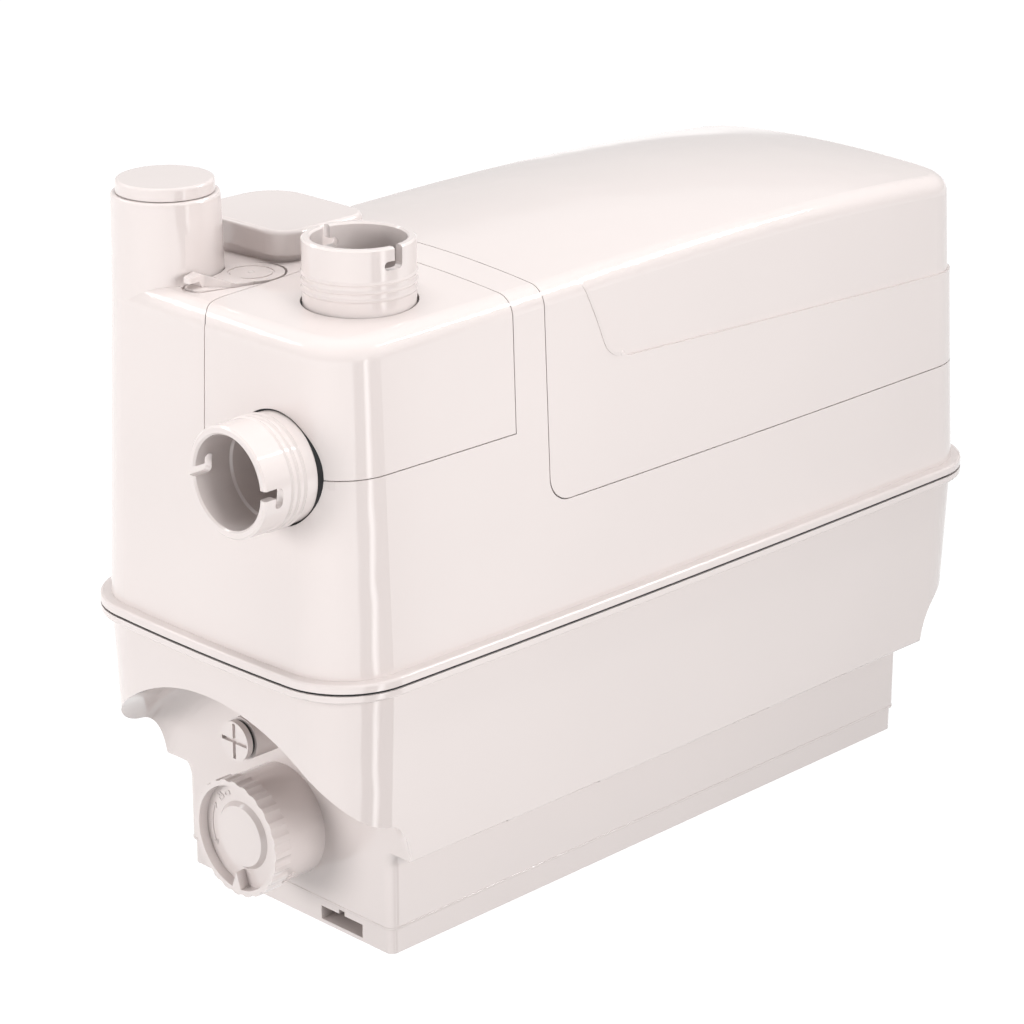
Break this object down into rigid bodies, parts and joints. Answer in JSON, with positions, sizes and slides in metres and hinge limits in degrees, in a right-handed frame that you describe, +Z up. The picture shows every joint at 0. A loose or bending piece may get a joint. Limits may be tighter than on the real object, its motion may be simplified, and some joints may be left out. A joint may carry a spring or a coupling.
{
  "type": "sewage lifting unit",
  "caption": "Moulded lifting unit with a stepped cover, a tall discharge tower, ribbed inlet sockets and a drain cap in the end scoop.",
  "frame": {"origin": "centre of the rim outline, on the floor under the base tray", "axes": "+X along the long side away from the end socket, +Y from the long side with the sockets to the side with the tower, +Z up"},
  "size_m": [0.3959, 0.156, 0.282],
  "materials": {
    "shell": "moulded, off-white with a soft gloss",
    "seal_rubber": "black",
    "flap_rubber": "black",
    "inner_plastic": "moulded, light grey",
    "pump_plastic": "glass-filled, dark grey",
    "black_plastic": "black",
    "motor_aluminium": "cast, plain",
    "core_steel": "laminated core",
    "shaft_steel": "turned",
    "board": "green board",
    "filter_foam": "black carbon foam"
  },
  "bodies": {
    "housing": {"tank": "shell", "base_tray": "shell", "upper_cover": "shell", "motor_cover": "shell", "corner_panel": "shell", "inlet_socket_top": "shell", "inlet_socket_end": "shell", "rim_seal": "seal_rubber", "socket_seal_top": "seal_rubber", "socket_seal_end": "seal_rubber", "shaft_seal": "seal_rubber", "tank_lid": "inner_plastic", "inlet_manifold": "inner_plastic", "level_pipe": "inner_plastic", "discharge_pipe": "inner_plastic", "check_valve_body": "inner_plastic", "pump_volute": "pump_plastic", "volute_cover": "pump_plastic", "inlet_strainer": "pump_plastic", "pump_column": "pump_plastic", "pressure_switch": "black_plastic", "cable_gland": "black_plastic", "motor_housing": "motor_aluminium", "motor_end_cap": "motor_aluminium", "capacitor": "motor_aluminium", "stator": "core_steel", "bearing_upper": "shaft_steel", "bearing_lower": "shaft_steel", "motor_screws": "shaft_steel", "control_board": "board", "carbon_filter": "filter_foam"},
    "impeller_spin": {"impeller": "pump_plastic", "pump_shaft": "shaft_steel", "rotor": "core_steel"},
    "inlet_flap": {"inlet_flap": "flap_rubber"},
    "check_flap": {"check_flap": "flap_rubber"},
    "drain_cap": {"drain_cap": "shell", "drain_cap_seal": "seal_rubber"},
    "test_screw": {"test_screw": "shell", "test_screw_seal": "seal_rubber"},
    "release_plug": {"release_plug": "shell"},
    "vent_lid": {"vent_lid": "shell"},
    "tower_cap": {"tower_cap": "shell"}
  },
  "joints": [
    {"name": "impeller_turn", "type": "hinge", "parent": "housing", "child": "impeller_spin", "pos_m": [0.055, 0, 0.12], "axis": [0, 0, 1], "continuous": true},
    {"name": "inlet_flap_swing", "type": "hinge", "parent": "housing", "child": "inlet_flap", "pos_m": [-0.1467, -0.037, 0.2197], "axis": [0, -1, 0], "range_deg": [0, 70]},
    {"name": "check_flap_swing", "type": "hinge", "parent": "housing", "child": "check_flap", "pos_m": [-0.1447, 0.0465, 0.2093], "axis": [0, 1, 0], "range_deg": [0, 60]},
    {"name": "drain_cap_turn", "type": "hinge", "parent": "housing", "child": "drain_cap", "pos_m": [-0.167, 0, 0.038], "axis": [-1, 0, 0], "range_deg": [0, 90]},
    {"name": "test_screw_turn", "type": "hinge", "parent": "housing", "child": "test_screw", "pos_m": [-0.168, 0, 0.0775], "axis": [-1, 0, 0], "range_deg": [0, 720]},
    {"name": "release_plug_lift", "type": "slide", "parent": "housing", "child": "release_plug", "axis": [0, 0, 1], "range_m": [0, 0.018]},
    {"name": "vent_lid_lift", "type": "slide", "parent": "housing", "child": "vent_lid", "axis": [0, 0, 1], "range_m": [0, 0.012]},
    {"name": "tower_cap_lift", "type": "slide", "parent": "housing", "child": "tower_cap", "axis": [0, 0, 1], "range_m": [0, 0.012]}
  ]
}
